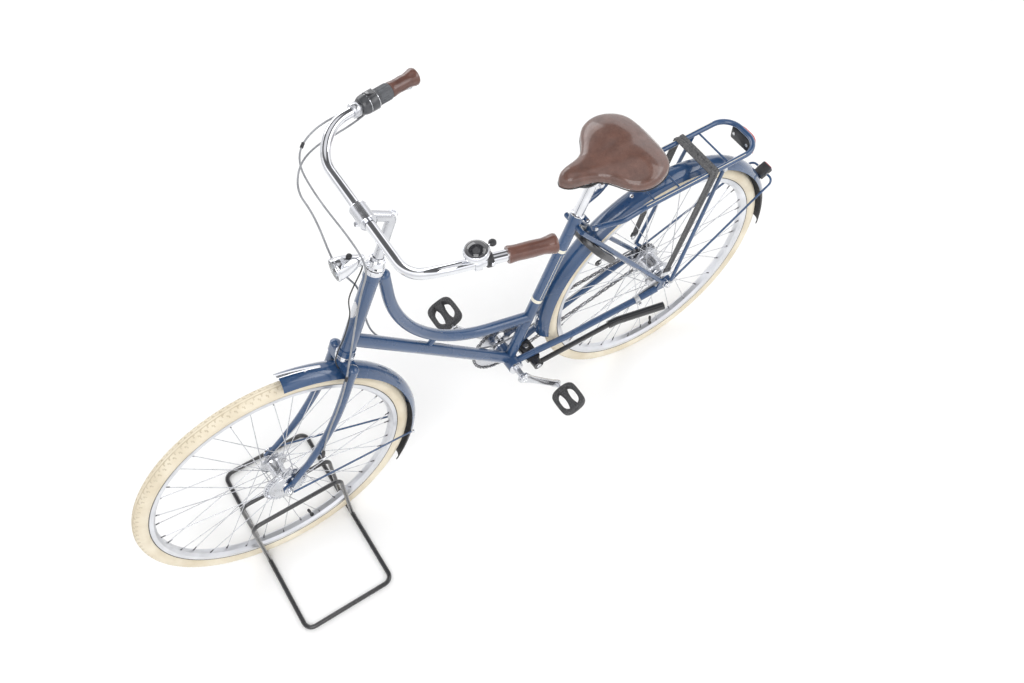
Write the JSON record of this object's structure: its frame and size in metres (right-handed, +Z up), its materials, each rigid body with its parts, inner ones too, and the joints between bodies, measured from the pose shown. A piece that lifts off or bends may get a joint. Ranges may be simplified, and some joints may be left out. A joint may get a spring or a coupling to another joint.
{
  "type": "city bicycle",
  "caption": "Step-through city bicycle with mudguards, rear carrier, ring lock and kickstand, its front wheel held in a low black tube wheel stand.",
  "frame": {"origin": "centre of the footprint, on the floor under both tyres", "axes": "+X towards the front wheel, +Y to the rider's left, +Z up; both wheels, the cranks and the pedals turn about axes along Y"},
  "size_m": [1.8425, 0.5648, 1.1611],
  "materials": {
    "navy_paint": "gloss",
    "chrome": "polished",
    "aluminium": "satin",
    "steel": "satin",
    "cream_tyre": "matte",
    "brown_leather": "satin",
    "black_steel": "gloss",
    "black_rubber": "matte",
    "grey_plastic": "satin",
    "lamp_red": "gloss"
  },
  "bodies": {
    "frame": {"head_tube": "navy_paint", "headset_cups": "chrome", "top_tube": "navy_paint", "down_tube": "navy_paint", "seat_tube": "navy_paint", "bottom_bracket_shell": "navy_paint", "bottom_bracket_cups": "chrome", "chainstays": "navy_paint", "rear_dropouts": "navy_paint", "seat_stays": "navy_paint", "seat_post": "chrome", "saddle": "brown_leather", "saddle_springs": "black_steel", "rear_mudguard": "navy_paint", "rear_mudguard_flap": "black_rubber", "rear_mudguard_stay": "navy_paint", "carrier_deck": "navy_paint", "carrier_legs": "navy_paint", "carrier_straps": "black_rubber", "rear_lamp": "lamp_red", "ring_lock": "black_steel", "chain": "black_steel", "rear_axle": "steel", "coaster_brake_arm": "aluminium", "kickstand_bracket": "black_steel", "gear_cable_run": "grey_plastic"},
    "steering": {"fork_crown": "navy_paint", "fork_blades": "navy_paint", "headset_locknut": "chrome", "stem": "chrome", "handlebar": "chrome", "grips": "brown_leather", "gear_shifter": "grey_plastic", "brake_lever": "aluminium", "bell": "chrome", "head_lamp": "chrome", "lamp_bracket": "chrome", "front_mudguard": "navy_paint", "front_mudguard_flap": "black_rubber", "front_mudguard_stays": "navy_paint", "front_axle": "steel", "front_brake": "aluminium", "brake_cable": "grey_plastic", "gear_cable_loop": "grey_plastic", "wheel_stand": "black_steel"},
    "front_wheel": {"front_tyre": "cream_tyre", "front_rim": "aluminium", "front_spokes": "steel", "front_hub": "aluminium"},
    "rear_wheel": {"rear_tyre": "cream_tyre", "rear_rim": "aluminium", "rear_spokes": "steel", "rear_hub": "aluminium"},
    "rear_sprocket": {"rear_sprocket": "steel"},
    "crankset": {"chainring": "steel", "crank_arms": "aluminium", "crank_axles": "steel"},
    "pedal_left": {"pedal_left": "black_rubber"},
    "pedal_right": {"pedal_right": "black_rubber"},
    "kickstand": {"kickstand_leg": "black_steel"}
  },
  "joints": [
    {"name": "steering_turn", "type": "hinge", "parent": "frame", "child": "steering", "pos_m": [0.49738, 0, 0.31821], "axis": [-0.4099, 0, 0.9121], "range_deg": [-60, 60]},
    {"name": "front_wheel_spin", "type": "hinge", "parent": "steering", "child": "front_wheel", "pos_m": [0.57035, 0, 0.351], "axis": [0, 1, 0], "continuous": true},
    {"name": "rear_wheel_spin", "type": "hinge", "parent": "frame", "child": "rear_wheel", "pos_m": [-0.54765, 0, 0.351], "axis": [0, 1, 0], "continuous": true},
    {"name": "crank_spin", "type": "hinge", "parent": "frame", "child": "crankset", "pos_m": [-0.08565, 0, 0.29], "axis": [0, 1, 0], "continuous": true},
    {"name": "rear_sprocket_spin", "type": "hinge", "parent": "frame", "child": "rear_sprocket", "pos_m": [-0.54765, 0, 0.351], "axis": [0, 1, 0], "continuous": true},
    {"name": "pedal_left_spin", "type": "hinge", "parent": "crankset", "child": "pedal_left", "pos_m": [-0.19355, 0.13, 0.15864], "axis": [0, 1, 0], "continuous": true},
    {"name": "pedal_right_spin", "type": "hinge", "parent": "crankset", "child": "pedal_right", "pos_m": [0.02225, -0.13, 0.42136], "axis": [0, 1, 0], "continuous": true},
    {"name": "kickstand_swing", "type": "hinge", "parent": "frame", "child": "kickstand", "pos_m": [-0.14265, 0.05, 0.281], "axis": [0, -1, 0], "range_deg": [0, 45]}
  ],
  "couplings": [
    {"joint": "rear_sprocket_spin", "follows": "crank_spin", "ratio": 2}
  ]
}
